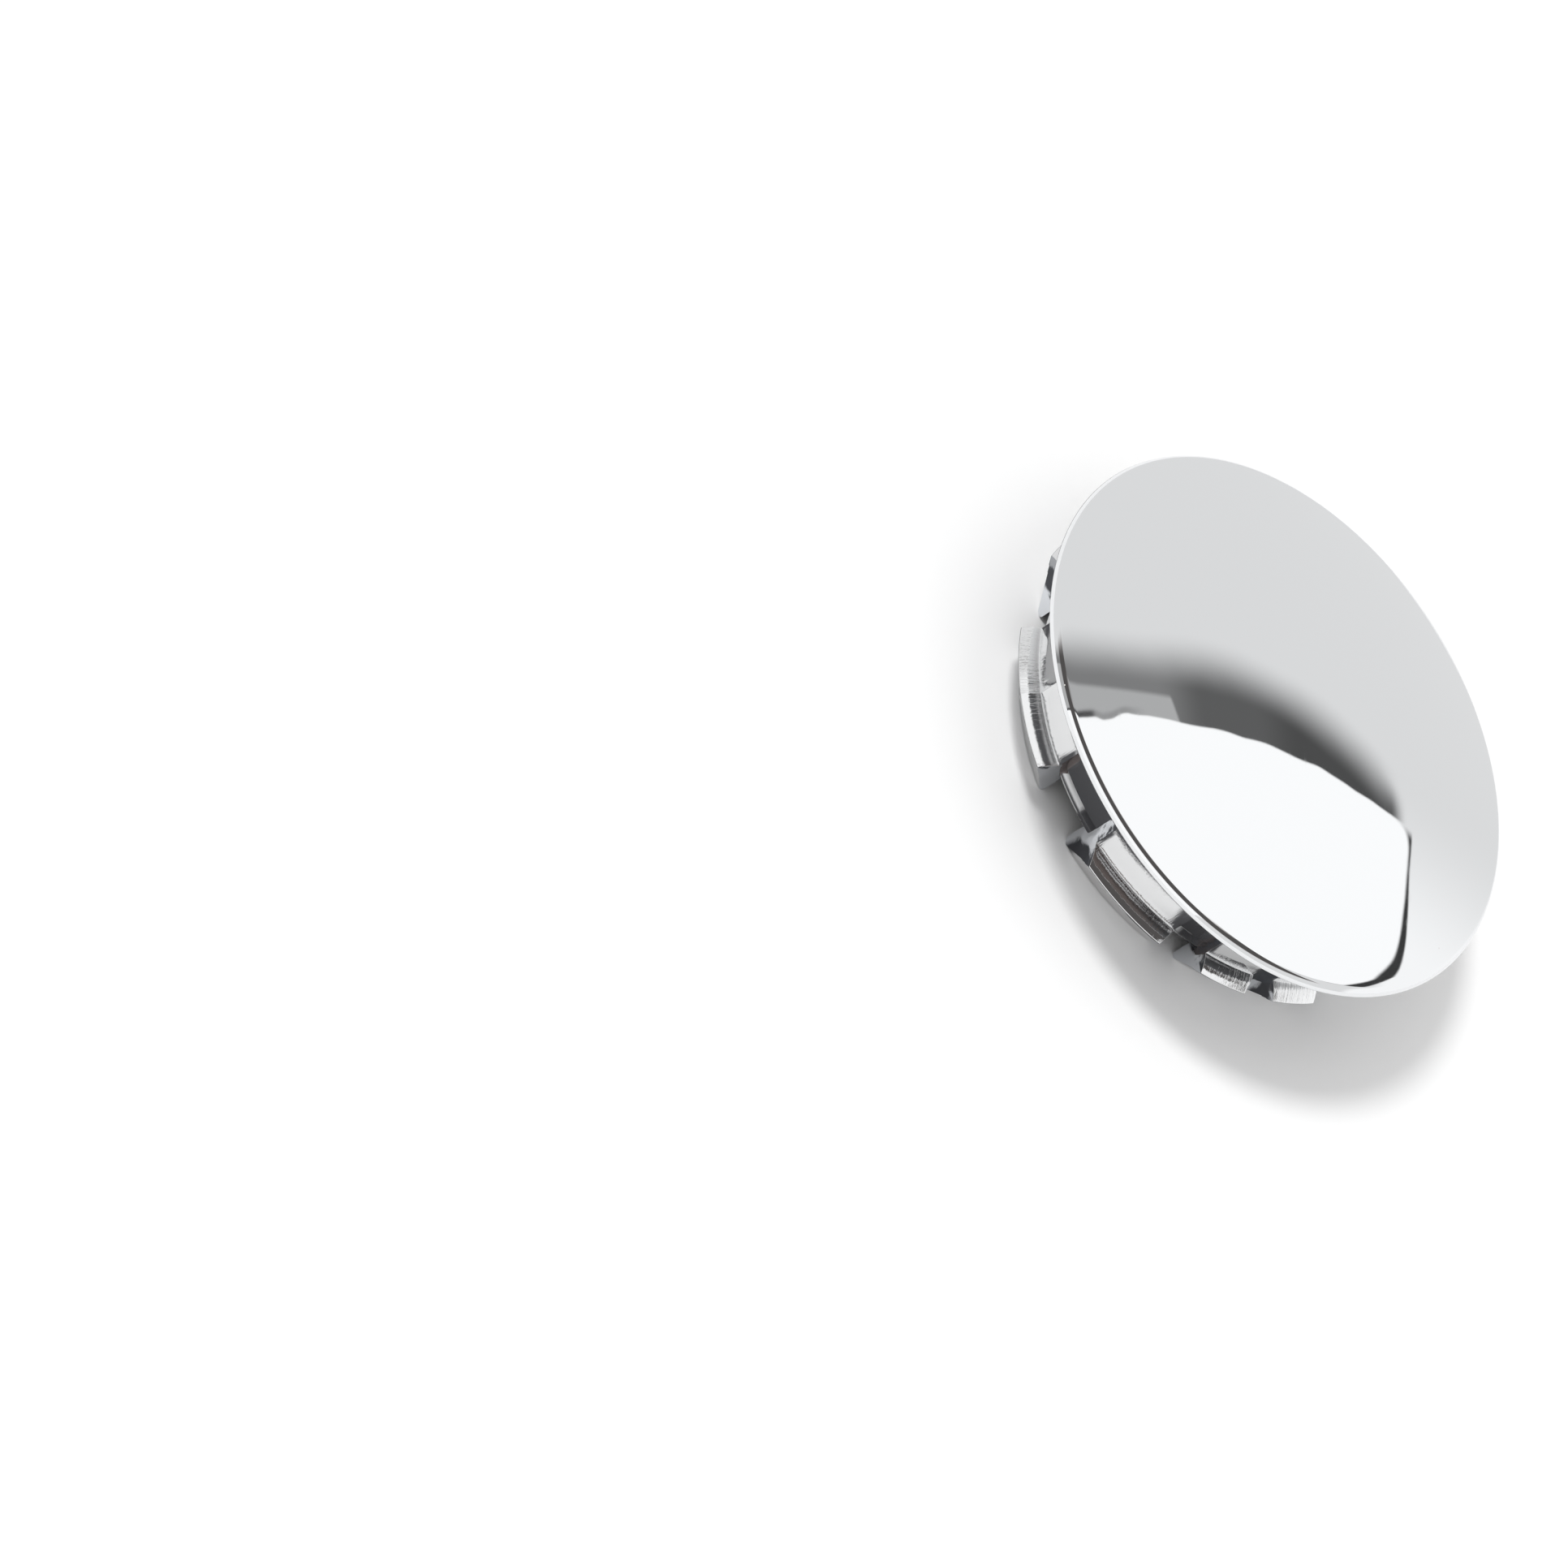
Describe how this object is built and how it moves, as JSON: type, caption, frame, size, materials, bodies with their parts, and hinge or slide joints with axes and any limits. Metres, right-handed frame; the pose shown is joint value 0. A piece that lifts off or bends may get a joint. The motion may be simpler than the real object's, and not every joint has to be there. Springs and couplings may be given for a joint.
{
  "type": "wheel centre cap",
  "caption": "Round snap-in wheel centre cap with a plain domed chrome face, a flat seat under its rim and a ring of moulded clip tabs behind.",
  "frame": {"origin": "on the cap's axis, in the plane of the tips of the clip tabs, on which the cap rests face up", "axes": "+Z along the cap's axis, out of the wheel through the domed face; +X through the middle of one long tab"},
  "size_m": [0.068, 0.068, 0.0199],
  "materials": {
    "chrome_plate": "mirror-bright chrome plate over moulded plastic"
  },
  "bodies": {
    "root": {"cap": "chrome_plate"}
  },
  "joints": []
}
